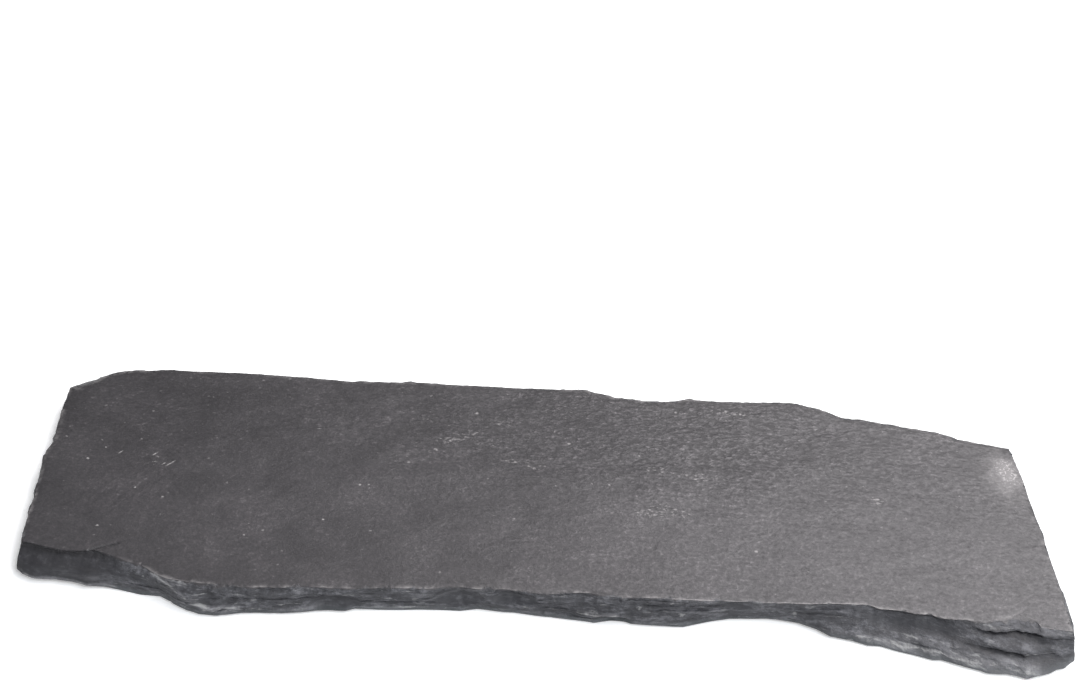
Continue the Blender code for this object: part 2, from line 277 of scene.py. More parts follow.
rear = {
    "crest": [
        (-129.2, 30.4), (-126.3, 34.8), (-118.3, 38.8), (-104.2, 41.0), (-80.0, 42.2), (-55.0, 41.6),
        (-30.0, 43.1), (8.3, 44.5), (15.7, 42.3), (27.2, 41.3), (35.4, 43.3), (62.4, 44.8), (69.7, 43.2),
        (76.5, 39.6), (80.2, 40.1), (99.3, 36.4), (105.1, 33.9), (118.0, 31.7),
    ],
    "foot": [
        (-129.7, 33.4), (-127.0, 37.8), (-118.5, 42.4), (-104.0, 44.4), (-80.0, 44.9), (-60.0, 43.6),
        (-35.0, 46.0), (8.0, 47.2), (20.0, 44.2), (36.0, 45.4), (60.0, 47.1), (71.0, 45.6), (79.0, 42.2),
        (98.0, 38.4), (107.0, 35.9), (119.6, 34.2),
    ],
    "slope": [
        (-129.2, 0.36, 0.66, 0.84, 0.40), (-112.0, 0.30, 0.60, 0.80, 0.60), (-60.0, 0.20, 0.50, 0.80, 1.00),
        (10.0, 0.30, 0.52, 0.76, 1.00), (70.0, 0.22, 0.56, 0.84, 0.80), (118.0, 0.20, 0.50, 0.80, 1.00),
    ],
    "scars": [
        (-92.0, 9.0, 1.4, 0.20, 0.50), (-68.0, 7.0, 1.2, 0.70, 0.45), (-22.0, 11.0, 1.5, 0.25, 0.55),
        (48.0, 8.0, 1.2, 0.75, 0.40), (88.0, 6.0, 1.0, 0.30, 0.40),
    ],
    "ledges": [
        (-45.0, 12.0, 1.0, 0.45, 0.63, 0.1), (22.0, 14.0, 0.9, 0.28, 0.63, -0.1),
        (100.0, 9.0, 0.9, 0.63, 0.83, 0.0),
    ],
    "streaks": [([(-55.0, 0.40), (-36.0, 0.62)], 0.4, 0.7), ([(10.0, 0.30), (34.0, 0.25)], 0.4, 0.6)],
    "along": 0,
    "outside": -1.0,
    "crestRagged": 0.32,
}

left = {
    "crest": [(-122.1, -32.3), (-124.2, -17.0), (-125.9, -4.3), (-127.1, 3.0), (-126.4, 7.2), (-129.2, 30.4)],
    "foot": [(-122.4, -37.4), (-124.7, -18.0), (-126.4, -4.0), (-127.5, 2.0), (-127.2, 7.6), (-129.7, 33.4)],
    "slope": [
        (-32.3, 0.05, 0.70, 0.95, 0.30), (-24.0, 0.30, 0.60, 0.85, 1.20), (30.4, 0.36, 0.66, 0.84, 0.90),
    ],
    "scars": [(5.0, 4.0, 0.6, 0.30, 0.50), (18.0, 6.0, 0.8, 0.75, 0.35)],
    "ledges": [(-8.0, 8.0, 0.4, 0.28, 0.45, 0.0)],
    "streaks": [([(-2.0, 0.30), (12.0, 0.50)], 0.4, 0.6)],
    "along": 1,
    "outside": -1.0,
    "crestRagged": 0.10,
}

# what the slate looks like at each point of the mesh, with the shade painted in cracks and scars, for its
# material
lookNames = ("broken", "worn", "scar", "shadedCrack", "crushed")


def wander(points, key, size, octaves=3):
    # smooth noise from about -1 to 1 at each plan point, with a key of its own for each lamina
    return np.array([noise.fractal(Vector((x, y, key)) / size, 1.0, 2.0, octaves) for x, y in points])


def hollow(place):
    # 0 in the middle of a flake's hollow and up to about 0.6 on the sharp ridges between hollows
    distances, centres = noise.voronoi(place)
    return min(d * d + 0.3 * abs(noise.cell(c)) for d, c in zip(distances, centres))


def flaked(points, down, gains):
    # mm out from the hollows of struck flakes, at a share of the way down
    out = np.zeros(len(points))
    for key, (length, height, depth) in enumerate(slab["flakes"]):
        z = down * slab["thickness"] / height + 31.7 * key
        values = np.array([hollow(Vector((x / length, y / length, z))) for x, y in points])
        out = out + depth * gains[key] * (values - 0.3)
    return out


def smooth(value, low, high):
    t = np.clip((value - low) / (high - low), 0.0, 1.0)
    return t * t * (3.0 - 2.0 * t)


def crackShare(points):
    # 1 in the crack and 0 away from it, narrower towards its end
    line = alongLine(slab["shadedCrack"], np.linspace(0.0, 1.0, 40))
    gaps = np.linalg.norm(points[:, None, :] - line[None, :, :], axis=2)
    nearest = gaps.argmin(axis=1)
    width = slab["crackWidth"] * (1.0 - 0.7 * nearest / 39.0)
    return np.exp(-(gaps.min(axis=1) / width) ** 2) * (1.0 - smooth(nearest / 39.0, 0.5, 1.0))


def topHeight(points):
    x, y = points[:, 0], points[:, 1]
    swell = slab["topSwell"] * wander(np.column_stack([x, 1.6 * y]), 3.0, 60.0)
    line = y - 9.0 - 0.10 * x + 9.0 * wander(points, 17.0, 55.0)
    begin, full, ending, ended = slab["topSheetEnds"]
    sheet = smooth(line, -1.5, 1.5) * smooth(x, begin, full) * (1.0 - smooth(x, ending, ended))
    flakeX, flakeY = np.array(slab["cornerFlake"]).T
    past = np.maximum(y - np.interp(x, flakeX, flakeY), 0.0)
    past = past * (1.0 - smooth(x, *slab["cornerFlakeEnds"]))
    return slab["thickness"] + swell - slab["topSheet"] * sheet - slab["cornerDip"] * past


def footHeight(points):
    x, y = points[:, 0], points[:, 1]
    endsX, endsY = slab["leftLiftEnds"]
    lift = slab["leftLift"] * (1.0 - smooth(x, *endsX)) * (1.0 - smooth(y, *endsY))
    return lift + slab["footLift"] * np.clip(0.45 + 0.9 * wander(points, 31.0, 26.0, 2), 0.08, 1.0)


def alongLine(line, shares):
    points = np.array(line)
    lengths = np.linalg.norm(np.diff(points, axis=0), axis=1)
    reached = np.concatenate([[0.0], np.cumsum(lengths)]) / lengths.sum()
    return np.column_stack([np.interp(shares, reached, points[:, i]) for i in (0, 1)])


def softened(line, reach):
    # the same line with its small chips averaged out and its ends kept
    padded = np.pad(line, ((reach, reach), (0, 0)), mode="edge")
    window = np.ones(2 * reach + 1) / (2 * reach + 1)
    soft = np.column_stack([np.convolve(padded[:, i], window, mode="valid") for i in (0, 1)])
    steps = np.arange(len(line))
    fade = np.clip(np.minimum(steps, steps[::-1]) / reach, 0.0, 1.0)[:, None]
    return line * (1.0 - fade) + soft * fade


def outwards(side, crest, ends):
    # unit directions out of the slab along one side, turned at its ends to those that it shares with
    # its neighbours
    tangent = np.gradient(softened(crest, 18), axis=0)
    normal = np.column_stack([tangent[:, 1], -tangent[:, 0]]) * side["outside"]
    normal = normal / np.linalg.norm(normal, axis=1)[:, None]
    steps = np.arange(len(crest))
    for end, distance in ((0, steps), (1, steps[::-1])):
        share = (1.0 - smooth(distance, 0.0, 12.0))[:, None]
        normal = normal * (1.0 - share) + np.array(ends[end]) * share
    return normal / np.linalg.norm(normal, axis=1)[:, None]


def wayOut(side, place, down):
    # share of the way from crest to foot that the slope has reached at a share of the way down
    stations = np.array(side["slope"])
    ways = [np.interp(place, stations[:, 0], stations[:, i]) for i in (1, 2, 3)]
    ways = np.array([np.zeros_like(place), *ways, np.ones_like(place)])
    downs = np.array([0.0, 0.2, 0.5, 0.8, 1.0])
    at = np.clip(np.searchsorted(downs, down, side="right") - 1, 0, 3)
    part = (down - downs[at]) / (downs[at + 1] - downs[at])
    columns = np.arange(len(place))
    return ways[at, columns] * (1.0 - part) + ways[at + 1, columns] * part


def leaningRidges(folds, place, down, inner):
    # mm out
    across = (down * slab["thickness"] - folds["lean"] * (place - folds["begin"])) / folds["spacing"]
    spots = [Vector((x / folds["length"], 5.0, z)) for x, z in zip(place, across)]
    rise = np.array([noise.fractal(spot, 1.0, 2.0, 3) for spot in spots])
    fading = 1.0 - folds["faintness"] * smooth(place, folds["fade"], folds["faint"])
    return folds["height"] * inner * smooth(place, folds["begin"], folds["full"]) * fading * rise


def ledgeShare(ledge, place, down):
    # 1 on a ledge or in an open parting, and 0 off it
    centre, half, _, above, below, lean = ledge
    shift = lean * (place - centre) / half
    band = smooth(down, above + shift - 0.05, above + shift + 0.04)
    band = band * (1.0 - smooth(down, below + shift - 0.10, below + shift + 0.07))
    return band * (1.0 - smooth(np.abs(place - centre), 0.2 * half, half))


def looksOf(side, place, down, isLip, roughness, scarred, opened):
    # what the slate looks like along one row of points, with the shade painted in cracks and scars
    onLedge = (1.0 - smooth(place, *front["darkLedge"])) * (side is front)
    # painted shade on the low front left ledge, under the step of the crack above it and near its foot
    cracked = np.maximum(1.0 - smooth(down, 0.18, 0.34), 0.55 * (1.0 - smooth(down, 0.80, 0.93)))
    cracked = onLedge * cracked
    return {
        "broken": 0.30 + 0.70 * smooth(down, 0.0, 0.14),
        "worn": isLip * smooth(roughness, 0.2, 0.6),
        # scars, and painted shade over the low front left ledge
        "scar": np.maximum(scarred, onLedge * (1.0 - 0.8 * smooth(down, 0.78, 0.95))),
        # painted shade in the crack's bands and in open partings
        "shadedCrack": np.maximum(cracked, 0.75 * opened),
        "crushed": streakShare(side, place, down[0]),
    }


def sideLevels(side, shares, ends):
    # every row of points down one side: plan places and heights, and what the slate looks like there
    crest, foot = alongLine(side["crest"], shares), alongLine(side["foot"], shares)
    place = crest[:, side["along"]]
    evened = softened(crest, 16)
    normal = outwards(side, crest, ends)
    width = np.sum((foot - crest) * normal, axis=1)
    slide = (foot - crest) - normal * width[:, None]
    width = np.maximum(width, 0.0)
    roughness = np.interp(place, [s[0] for s in side["slope"]], [s[4] for s in side["slope"]])
    crestStray = side["crestRagged"] * (wander(crest, 3.0, 6.0, 3) + 1.2 * wander(crest, 8.0, 1.7, 2))
    high, low = topHeight(crest), footHeight(foot)
    partings = slab["partings"]
    laminae = len(partings) - 1
    last = laminae * len(slab["levels"]) - 1
    levels = []
    for lamina in range(laminae):
        top, bottom = partings[lamina], partings[lamina + 1]
        lip = np.full_like(place, top + (bottom - top) * lamina / (laminae - 1))
        lipWay = wayOut(side, place, lip)
        # each lamina is a clean step in some stretches and merges with the next in others
        step = roughness * np.clip(0.32 + 1.3 * wander(crest, 19.0 + 7.0 * lamina, 19.0), 0.05, 1.0)
        stray = (slab["ragged"] + slab["raggedShare"] * width) * wander(crest, 9.0 * lamina, 13.0, 4)
        gape = np.clip(wander(crest, 13.0 * lamina + 2.0, 11.0) + 0.35, 0.0, 1.0)
        groove = slab["groove"] * roughness * gape
        for part in slab["levels"]:
            level = len(levels)
            down = 0.0 if level == 0 else 1.0 if level == last else top + (bottom - top) * part
            inner = min(1.0, 12.0 * down) * min(1.0, 12.0 * (1.0 - down))  # 0 at the crest and foot
            down = np.full_like(place, down)
            way = wayOut(side, place, down)
            below, above = np.minimum(down + 0.08, 1.0), np.maximum(down - 0.08, 0.0)
            gained = wayOut(side, place, below) - wayOut(side, place, above)
            gentleness = gained * width / (0.16 * slab["thickness"])  # mm out for each mm down
            way = way * (1.0 - step) + lipWay * step
            gain = roughness * (0.75 + 0.45 * np.minimum(gentleness, 2.0))
            gains = (gain, gain * np.clip(0.8 + 1.2 * wander(crest, 71.0, 16.0), 0.3, 1.5), gain)
            out = flaked(crest, down[0], gains)
            out = out + slab["layering"] * gain * wander(crest, 300.0 + 5.0 * level, 1.8, 3)
            out = out - groove * (part < 0.1 or part > 0.9)
            loose = (0.25 + 0.75 * inner) * (1.0 - 0.75 * smooth(down, 0.04, 0.45)) * crestStray
            reach = way * width + loose + inner * (step * stray + out) + 0.35 * (1.0 - inner) * out
            if "folds" in side:
                reach = reach + leaningRidges(side["folds"], place, down, inner)
            opened = np.zeros_like(place)
            for ledge in side["ledges"]:
                depth, band = ledge[2], ledgeShare(ledge, place, down)
                reach = reach + depth * band
                opened = np.maximum(opened, band * (depth < 0.0))
            reach, scarred = carveScars(side, crest, place, down, width, loose, reach, 5.0 * level)
            reach = softLower(reach, width + 0.15, 0.3)
            wobble = 4.0 * slab["wobble"] * wander(crest, 30.0 * down[0], 22.0, 2)
            share = down + wobble * down * (1.0 - down)
            buried = smooth(down, 0.02, 0.25)[:, None]
            plan = crest * (1.0 - buried) + evened * buried + slide * way[:, None] + normal * reach[:, None]
            height = high + (low - high) * share - (slab["crestWear"] if level == 0 else 0.0)
            isLip = 1.0 if part < 0.1 else 0.0
            levels.append((plan, height, looksOf(side, place, down, isLip, roughness, scarred, opened)))
    return levels


def streakShare(side, place, down):
    # 1 along the pale crushed streaks of one side and 0 away from them
    spots = np.column_stack([place, np.full_like(place, down * slab["thickness"])])
    share = np.zeros_like(place)
    for line, width, strength in side["streaks"]:
        path = alongLine([(x, d * slab["thickness"]) for x, d in line], np.linspace(0.0, 1.0, 60))
        gap = np.linalg.norm(spots[:, None, :] - path[None, :, :], axis=2).min(axis=1)
        share = np.maximum(share, strength * np.exp(-(gap / width) ** 2))
    return share


def softLower(first, second, blend):
    # the lower of two values, with the corner between them rounded over a blend
    near = np.clip(0.5 + 0.5 * (second - first) / blend, 0.0, 1.0)
    return second * (1.0 - near) + first * near - blend * near * (1.0 - near)


def carveScars(side, crest, place, down, width, stray, reach, key):
    # smooth hollows where large flakes were struck off, cut into the rough edge
    scarred = np.zeros_like(place)
    slope = wayOut(side, place, down) * width
    for centre, half, depth, deepest, spread in side["scars"]:
        inside = 1.0 - ((place - centre) / half) ** 2 - ((down - deepest) / spread) ** 2
        inside = inside + 0.30 * wander(crest, 90.0 + 2.0 * down[0], 5.0, 3)
        bite = depth * (1.5 * np.maximum(inside, -2.0) - 0.5) * smooth(down, 0.0, 0.14)
        carved = slope + stray - bite + 0.08 * wander(crest, key, 3.0, 3)
        cut = (inside > 0.0) & (carved < reach)
        reach = np.where(inside > -0.3, softLower(carved, reach, 0.25), reach)
        scarred = np.maximum(scarred, np.where(cut, smooth(inside, 0.0, 0.3), 0.0))
    return reach, scarred


def blockOfSheets():
    # a grid pulled down into a block, with one row of edges for each level of the broken edge
    columns, rows = slab["columns"], slab["rows"]
    levels = len(slab["levels"]) * (len(slab["partings"]) - 1)
    bm = bmesh.new()
    bmesh.ops.create_grid(bm, x_segments=columns, y_segments=rows, size=0.5)
    pulled = bmesh.ops.extrude_face_region(bm, geom=bm.faces[:])
    raised = [v for v in pulled["geom"] if isinstance(v, bmesh.types.BMVert)]
    bmesh.ops.translate(bm, verts=raised, vec=(0.0, 0.0, 1.0))
    uprights = [e for e in bm.edges if abs(e.verts[0].co.z - e.verts[1].co.z) > 0.5]
    bmesh.ops.subdivide_edges(bm, edges=uprights, cuts=levels - 2, use_grid_fill=True)
    fine = [e for e in bm.edges if isFine(e)]
    bmesh.ops.subdivide_edges(bm, edges=fine, cuts=slab["edgeParts"] - 1, use_grid_fill=True)
    return bm, levels


def isFine(edge):
    a, b = edge.verts[0].co, edge.verts[1].co
    if abs(a.z - b.z) > 1e-4:
        return False
    if any(abs(abs(a[i]) - 0.5) < 1e-4 and abs(a[i] - b[i]) < 1e-4 for i in (0, 1)):
        return True
    across = (max(a.y, b.y) + 0.5) * slab["rows"]
    middle = (a.x + b.x) / 2
    nearCrack = -0.46 < middle < -0.36
    return a.z > 0.9 and across < slab["fineRows"] + 0.1 + 5 * nearCrack


def crowded(share):
    return share - slab["rowCrowding"] * np.sin(2.0 * np.pi * share) / (2.0 * np.pi)


def patch(lines, us, vs):
    # plan places inside four edge lines, blended from all of them
    frontLine, rightLine, rearLine, leftLine = lines
    u, v = us[:, None, None], vs[None, :, None]
    across = (1.0 - v) * frontLine[:, None, :] + v * rearLine[:, None, :]
    along = (1.0 - u) * leftLine[None, :, :] + u * rightLine[None, :, :]
    corners = (1.0 - u) * (1.0 - v) * frontLine[0] + u * (1.0 - v) * frontLine[-1]
    corners = corners + (1.0 - u) * v * rearLine[0] + u * v * rearLine[-1]
    return across + along - corners


def cornerDirections():
    # the way out of the slab at its four corners, front left first and then round past the right
    return [np.array(d) / np.linalg.norm(d) for d in ((-0.8, -1.0), (0.6, -1.0), (0.9, 1.0), (-1.0, 0.9))]


def shapeBlock(bm, levels):
    parts = slab["edgeParts"]
    columns, rows = slab["columns"] * parts, slab["rows"] * parts
    us = np.linspace(0.0, 1.0, columns + 1)
    vs = crowded(np.linspace(0.0, 1.0, rows + 1))
    frontLeft, frontRight, rearRight, rearLeft = cornerDirections()
    sides = [
        sideLevels(front, us, (frontLeft, frontRight)), sideLevels(right, vs, (frontRight, rearRight)),
        sideLevels(rear, us, (rearLeft, rearRight)), sideLevels(left, vs, (frontLeft, rearLeft)),
    ]
    looks = {name: bm.verts.layers.float.new(name) for name in lookNames}
    plans = {level: patch([softened(s[level][0], 7) for s in sides], us, vs) for level in (0, levels - 1)}
    faces = {0: [], levels - 1: []}
    for vert in bm.verts:
        column = round((vert.co.x + 0.5) * columns)
        row = round((vert.co.y + 0.5) * rows)
        level = round((1.0 - vert.co.z) * (levels - 1))
        if 0 < column < columns and 0 < row < rows:
            faces[level].append(vert)
            vert.co = (*plans[level][column, row], 0.0)
            continue
        if row == 0 or row == rows:
            plan, height, shown = sides[0 if row == 0 else 2][level]
            at = column
        else:
            plan, height, shown = sides[1 if column else 3][level]
            at = row
        vert.co = (*plan[at], height[at])
        for name, values in shown.items():
            vert[looks[name]] = values[at]
    raiseTop(faces[0], np.vstack([s[0][0] for s in sides]), looks)
    raiseUnderside(faces[levels - 1], np.vstack([s[levels - 1][0][::3] for s in sides]))


def distancesTo(outline, points):
    tree = kdtree.KDTree(len(outline))
    for i, (x, y) in enumerate(outline):
        tree.insert((x, y, 0.0), i)
    tree.balance()
    return np.array([tree.find((x, y, 0.0))[2] for x, y in points])


def raiseTop(verts, crest, looks):
    points = np.array([v.co[:2] for v in verts])
    worn = np.exp(-(distancesTo(crest, points) / slab["wearWidth"]) ** 2)
    flakeLine = alongLine(slab["cornerFlake"], np.linspace(0.0, 1.0, 60))
    worn = np.maximum(worn, 0.9 * np.exp(-(distancesTo(flakeLine, points) / 0.6) ** 2))
    broken = 0.28 * np.exp(-(distancesTo(crest, points) / 0.9) ** 2)
    worn = worn * np.where(points[:, 1] < 0.0, smooth(points[:, 0], -100.0, -90.0), 1.0)
    # the crack is cut into the face, and shade is painted in it
    cracked = crackShare(points)
    heights = topHeight(points) - slab["crestWear"] * worn - slab["crackDepth"] * cracked
    for vert, height, wear, chip, shadedCrack in zip(verts, heights, worn, broken, cracked):
        vert.co.z = height
        vert[looks["worn"]] = wear
        vert[looks["broken"]] = chip
        vert[looks["shadedCrack"]] = shadedCrack


def raiseUnderside(verts, foot):
    # flat where it rests, and up a little to the ragged foot
    points = np.array([v.co[:2] for v in verts])
    share = 1.0 - smooth(distancesTo(foot, points), 0.0, slab["liftWidth"])
    wave = slab["undersideWave"] * np.clip(wander(points, 57.0, 30.0), 0.0, 1.0)
    x, y = points[:, 0], points[:, 1]
    edge = y + 5.0 + 10.0 * wander(points, 63.0, 40.0)
    begin, full, ending, ended = slab["undersideSheetEnds"]
    gone = slab["undersideSheet"] * smooth(edge, -1.0, 1.0) * smooth(x, begin, full)
    wave = wave + gone * (1.0 - smooth(x, ending, ended))
    for vert, height in zip(verts, footHeight(points) * share + wave * (1.0 - share)):
        vert.co.z = height


def thinUnderside(bm):
    # the underside is plain, so its faces are joined in fours
    columns, rows = slab["columns"], slab["rows"]
    spare = []
    for edge in bm.edges:
        if edge.verts[0].co.z > 1e-4 or edge.verts[1].co.z > 1e-4:
            continue
        places = [((v.co.x + 0.5) * columns, (v.co.y + 0.5) * rows) for v in edge.verts]
        (x0, y0), (x1, y1) = [(round(x), round(y)) for x, y in places]
        if min(x0, x1) < 1 or max(x0, x1) > columns - 1 or min(y0, y1) < 1 or max(y0, y1) > rows - 1:
            continue
        if (x0 == x1 and x0 % 2 and 1 < x0 < columns - 1) or (y0 == y1 and y0 % 2 and 1 < y0 < rows - 1):
            spare.append(edge)
    bmesh.ops.dissolve_edges(bm, edges=spare, use_verts=True)


def addSlab():
    bm, levels = blockOfSheets()
    thinUnderside(bm)
    shapeBlock(bm, levels)
    bmesh.ops.scale(bm, vec=(millimetre,) * 3, verts=bm.verts)
    low, high = (Vector(corner) for corner in cadBox)
    for vert in bm.verts:
        vert.co = [min(max(vert.co[i], low[i]), high[i]) for i in range(3)]
    bmesh.ops.recalc_face_normals(bm, faces=bm.faces)
    mesh = bpy.data.meshes.new("slab")
    bm.to_mesh(mesh)
    bm.free()
    mesh.shade_smooth()
    mesh.set_sharp_from_angle(angle=math.radians(38.0))
    piece = bpy.data.objects.new("slab", mesh)
    bpy.context.scene.collection.objects.link(piece)
    print("slab triangles", sum(len(p.vertices) - 2 for p in mesh.polygons))
    return piece


# Slate, riven: clay, mica and quartz pressed into sheets, then split by hand along them. A split face
# is matt and finely grained, with a silky sheen where mica lies flat, and a broken edge is cooler and
# rougher, with pale crushed flecks on its lips. Its grains are under 0.1 mm and its thinnest sheets
# about 0.2 mm, too fine to show here, so both are drawn several times as coarse.

slateLook = {
    "face": "#373537",
    "faceDark": "#292729",
    "faceWarm": "#434042",
    "facePale": "#676466",
    "edge": "#38383c",
    "edgeDark": "#1f1f23",
    "edgePale": "#616165",
    # painted reflection of the pale floor on the foot of the edge
    "footFloorReflection": "#5a5f61",
    "edgeCrushed": "#8b8a8d",
    # the smooth scars' own darker colour, with painted shade in their hollows and on the low front left ledge
    "scar": "#28282c",
    "fleck": "#a9a9a8",
    "crushed": "#b5b1b0",
    # painted shade in the crack, in open partings and on the low front left ledge
    "shadedCrack": "#141216",
    "faceStops": (0.30, 0.50, 0.62, 0.80),  # of the face's tone, from its darkest colour to its palest
    "edgeStops": (0.34, 0.52, 0.70),
    "ior": 1.54,
    "roughness": (0.38, 0.54),  # of the face where its tone is palest and darkest
    "edgeRoughness": (0.48, 0.75),
    "paleRoughness": 0.25,  # added where it is crushed pale
    # noises: how much finer along x, y and z, turn in degrees, size in mm, detail, roughness and distortion
    "noises": {
        "grain": ((1.0, 1.0, 1.0), 0.0, 1.5, 3.5, 0.62, 0.0),
        "streaks": ((1.0 / 1.7, 1.0, 1.0), 0.0, 0.9, 3.0, 0.60, 0.0),
        "dust": ((1.0, 1.0, 1.0), 0.0, 0.75, 2.0, 0.70, 0.0),
        "mottle": ((1.0, 1.0, 1.0), 0.0, 16.0, 4.0, 0.60, 0.6),
        "brushing": ((0.16, 1.0, 1.0), 62.0, 1.1, 3.0, 0.60, 0.0),
        "dashes": ((0.6, 1.0, 1.0), -8.0, 0.75, 2.0, 0.60, 0.0),
        "rubbing": ((1.0, 1.0, 1.0), 0.0, 4.0, 4.0, 0.55, 0.0),
        "crestRubbing": ((1.0, 1.0, 1.0), 0.0, 3.5, 4.0, 0.65, 0.0),
        "bites": ((1.0, 1.0, 1.0), 0.0, 2.2, 4.0, 0.60, 0.0),
        "ripple": ((0.5, 1.0, 1.0), 0.0, 8.0, 4.0, 0.50, 0.4),
    },
    # and those of the broken edge, which lean with its ridges
    "edgeNoises": {
        "sheets": ((1.0 / 12.0, 1.0 / 12.0, 1.0), 0.0, 0.9, 4.0, 0.60, 0.3),
        "chips": ((0.55, 0.55, 1.25), 0.0, 0.85, 5.0, 0.76, 0.0),
        "blotches": ((0.4, 0.4, 1.7), 0.0, 2.4, 5.0, 0.72, 0.0),
        "flecks": ((0.22, 0.22, 1.2), 0.0, 0.85, 4.0, 0.70, 0.0),
    },
    # how lively the grain is: along or across, between which places in mm, and from how much to how much
    "lively": [("X", -60.0, 50.0, 0.5, 1.0), ("Y", -14.0, 24.0, 0.14, 1.0), ("X", 40.0, 100.0, 1.0, 0.55)],
    "drawnOut": ("Y", -14.0, 24.0, 0.15, 0.70),  # and how much of it is drawn out along the slab
    "contrast": (0.54, 0.86),  # of the tone everywhere, and what a lively grain adds
    "dustTone": 0.40,
    "brushTone": 0.8,
    "mottleTone": 0.5,
    # painted shade: how much darker the face is made towards the rear
    "rearShadeTone": -0.05,
    "livelyTone": -0.07,
    "pebbleSize": 1.1,  # mm, of the leathery cells of a lively grain
    "pebbleTone": 0.42,
    "strayWidth": 1.6,  # mm that the cells are moved about
    # crushed specks at random
    "speckSpacing": 6.5,
    "speckRadius": 0.40,
    "speckShare": 0.75,
    # clusters of pale dashes: place, half sizes and turn in degrees
    "clusters": [
        ((-23.0, 20.5), (7.5, 2.4), 30.0), ((-28.7, 14.2), (2.6, 1.6), 20.0),
        ((-31.2, 27.1), (3.0, 1.8), 10.0), ((-12.0, 28.0), (4.5, 1.5), 4.0),
        ((-8.0, 12.4), (2.4, 1.5), 0.0), ((-1.7, 11.0), (4.0, 2.2), -8.0),
        ((29.4, 12.1), (4.4, 2.4), -10.0), ((40.0, 10.8), (8.0, 1.9), -3.0), ((31.0, -4.0), (10.0, 3.0), 6.0),
        ((-98.0, 2.5), (3.2, 1.6), 55.0), ((47.0, 38.5), (8.0, 1.7), -4.0), ((84.0, 6.5), (3.6, 2.2), 0.0),
    ],
    "clusterGain": 0.19,
    "looseDashes": 0.28,  # share of a cluster's that a lively grain has all over
    # single pale specks: place and radius
    "specks": [
        ((-115.5, 0.9), 0.35), ((-112.2, 5.9), 0.30), ((-100.4, -9.1), 0.30), ((-92.6, -12.0), 0.35),
        ((-69.2, -23.8), 0.35), ((-105.6, -24.5), 0.35), ((-51.2, -16.0), 0.30), ((-44.7, -1.6), 0.35),
        ((-42.5, -1.3), 0.30), ((-4.7, -10.3), 0.35), ((4.2, 3.2), 0.30), ((17.4, 5.1), 0.30),
        ((5.7, 21.0), 0.45), ((24.0, 17.9), 0.30), ((40.4, 20.4), 0.35), ((54.7, -16.0), 0.45),
        ((84.2, 7.2), 0.45), ((64.5, 29.0), 0.30), ((32.2, 37.4), 0.40), ((49.0, 38.4), 0.40),
        ((-17.6, 18.4), 0.30), ((1.5, 25.6), 0.30), ((-19.7, 31.3), 0.50), ((-34.1, 9.0), 0.50),
    ],
    "markShare": 0.55,  # how pale dashes and specks are
    # short pale scratches: both ends, in mm
    "scratches": [
        ((-99.9, 3.1), (-98.0, 5.8)), ((-95.3, -0.5), (-92.8, 2.7)), ((-96.3, 0.2), (-95.2, 1.5)),
        ((-108.5, 3.5), (-107.3, 5.1)),
    ],
    "scratchWidth": 0.30,
    "scratchShare": 0.6,
    # a rubbed patch near the rear right corner and its paler core, and one faintly brushed in one
    # direction: place, half sizes and turn in degrees
    "scuff": ((116.4, 19.8), (5.6, 10.4), 14.0),
    "scuffCore": ((118.0, 22.2), (1.0 / 0.26, 1.0 / 0.17), 14.0),
    "scuffCells": 1.3,  # mm, of the net of crushed points on it
    "scuffNet": (0.12, 0.72),  # how pale they are on the patch and on its core
    "scuffGlow": (0.24, 0.40),  # and the dust between them
    "brushed": ((-101.0, -8.0), (26.0, 13.0), 62.0),
    # the broken edge
    "chipShare": 0.75,  # of chips in its tone, the rest is sheets
    "blotchTone": 0.9,
    "scarShare": (0.74, 0.44),  # how much of the scars' colour, partly painted shade, dark and pale slate takes
    "crushedShare": 0.37,
    # how much of the painted floor reflection the foot takes
    "footReflectionShare": 0.34,
    "paleChipSpacing": 4.6,
    "paleChipRadius": 0.75,
    "paleChipShare": 0.66,
    "fleckShare": 0.55,
    "crestShare": 0.38,  # how pale the rounded crest is
    # bump heights in mm
    "grainHeight": (0.05, 0.17),  # where the grain is calm and where it is lively
    "dustHeight": 0.03,
    "rippleHeight": 0.45,
    "edgeHeight": 0.36,
}
softly = {"interpolation_type": "SMOOTHSTEP"}
fading = {"interpolation_type": "SMOOTHSTEP", "To Min": 1.0, "To Max": 0.0}


def addNode(material, kind, inputs, output=0):
    # adds a node, sets each number or colour, links each socket, and gives one of its outputs
    node = material.node_tree.nodes.new("ShaderNode" + kind)
    for name, value in inputs.items():
        if isinstance(value, bpy.types.NodeSocket):
            material.node_tree.links.new(value, node.inputs[name])
        elif hasattr(node, str(name)):
            setattr(node, name, value)
        else:
            node.inputs[name].default_value = value
    return node.outputs[output]


def addTones(slate, tone, names, stops):
    # the colours of a tone from 0 to 1
    colours = addNode(slate, "ValToRGB", {"Fac": tone})
    ramp = colours.node.color_ramp.elements
    ramp[0].position, ramp[1].position = stops[0], stops[-1]
    ramp[0].color, ramp[1].color = linear(slateLook[names[0]]), linear(slateLook[names[-1]])
    for name, stop in zip(names[1:-1], stops[1:-1]):
        ramp.new(stop).color = linear(slateLook[name])
    return colours


def varied(slate, value, pattern, amount):
    # a value moved up and down by a pattern, times an amount
    swing = addNode(slate, "Math", {"operation": "SUBTRACT", 0: pattern, 1: 0.5})
    return addNode(slate, "Math", {"operation": "MULTIPLY_ADD", 0: swing, 1: amount, 2: value})


def painted(slate, under, name, share, strength=1.0):
    # a colour with one of the slate's laid over it
    share = addNode(slate, "Math", {"operation": "MULTIPLY", 0: share, 1: strength})
    return addNode(slate, "Mix", {"data_type": "RGBA", 0: share, 6: under, 7: linear(slateLook[name])}, 2)


